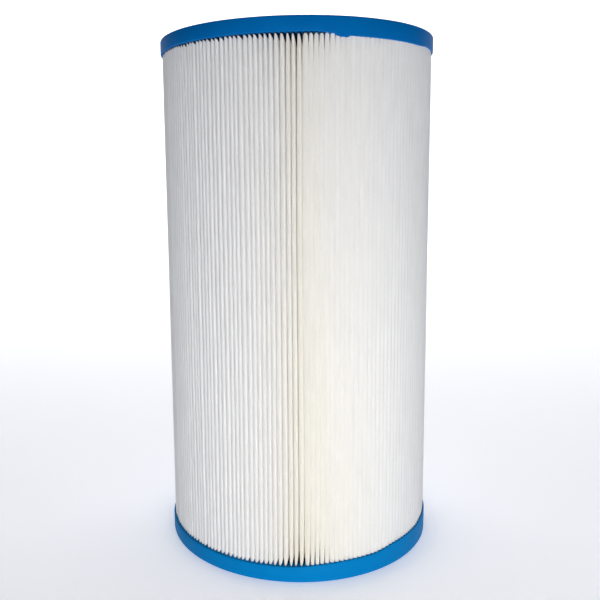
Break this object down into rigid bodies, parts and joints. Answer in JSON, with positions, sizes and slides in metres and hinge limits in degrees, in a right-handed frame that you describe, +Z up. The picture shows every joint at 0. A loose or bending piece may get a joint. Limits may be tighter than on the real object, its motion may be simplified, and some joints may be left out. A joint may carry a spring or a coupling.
{
  "type": "filter cartridge",
  "caption": "Pleated pool or spa filter cartridge: folded cloth around a perforated core, potted into two moulded end caps with an open centre bore",
  "frame": {"origin": "centre of the bottom cap's lower face, on the cartridge's axis", "axes": "+Z runs up the axis from the bottom cap to the top cap; -Y is the side nearest the cloth's seam"},
  "size_m": [0.137, 0.137, 0.254],
  "materials": {
    "end_cap": "blue moulded plastisol, soft gloss",
    "filter_cloth": "white spunbonded polyester, matt",
    "core": "white moulded plastic, satin",
    "seam_glue": "pale amber hot-melt glue, satin"
  },
  "bodies": {
    "root": {"bottom_end_cap": "end_cap", "top_end_cap": "end_cap", "pleated_media": "filter_cloth", "centre_core": "core", "media_seam_bead": "seam_glue"}
  },
  "joints": []
}
